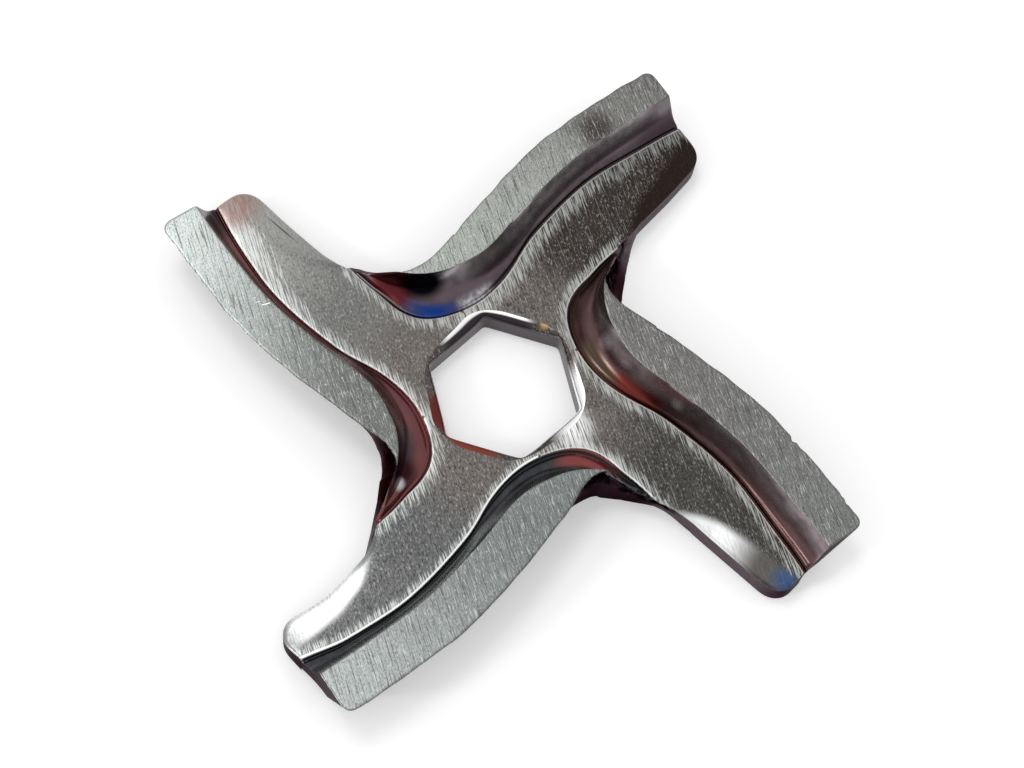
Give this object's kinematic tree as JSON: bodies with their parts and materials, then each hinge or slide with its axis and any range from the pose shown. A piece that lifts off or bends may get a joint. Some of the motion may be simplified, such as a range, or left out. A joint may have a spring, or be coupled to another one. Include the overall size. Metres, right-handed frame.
{
  "type": "meat grinder knife",
  "caption": "Flat swirl-shaped rotary knife for a meat grinder, with raised ground cutting strips on its arms and a hexagonal drive hole.",
  "frame": {"origin": "on the drive axis, in the flat back face, which is the lowest face", "axes": "+Z along the drive axis, from the back face to the ground cutting face; +X along the radial line of the first arm, whose cutting edge is on its +Y side"},
  "size_m": [0.0438, 0.0438, 0.004],
  "materials": {
    "hardened_steel": "hardened tool steel: ground satin cutting strips, tumbled speckled body, dark smooth hollow flanks"
  },
  "bodies": {
    "root": {"meat_grinder_knife": "hardened_steel"}
  },
  "joints": []
}
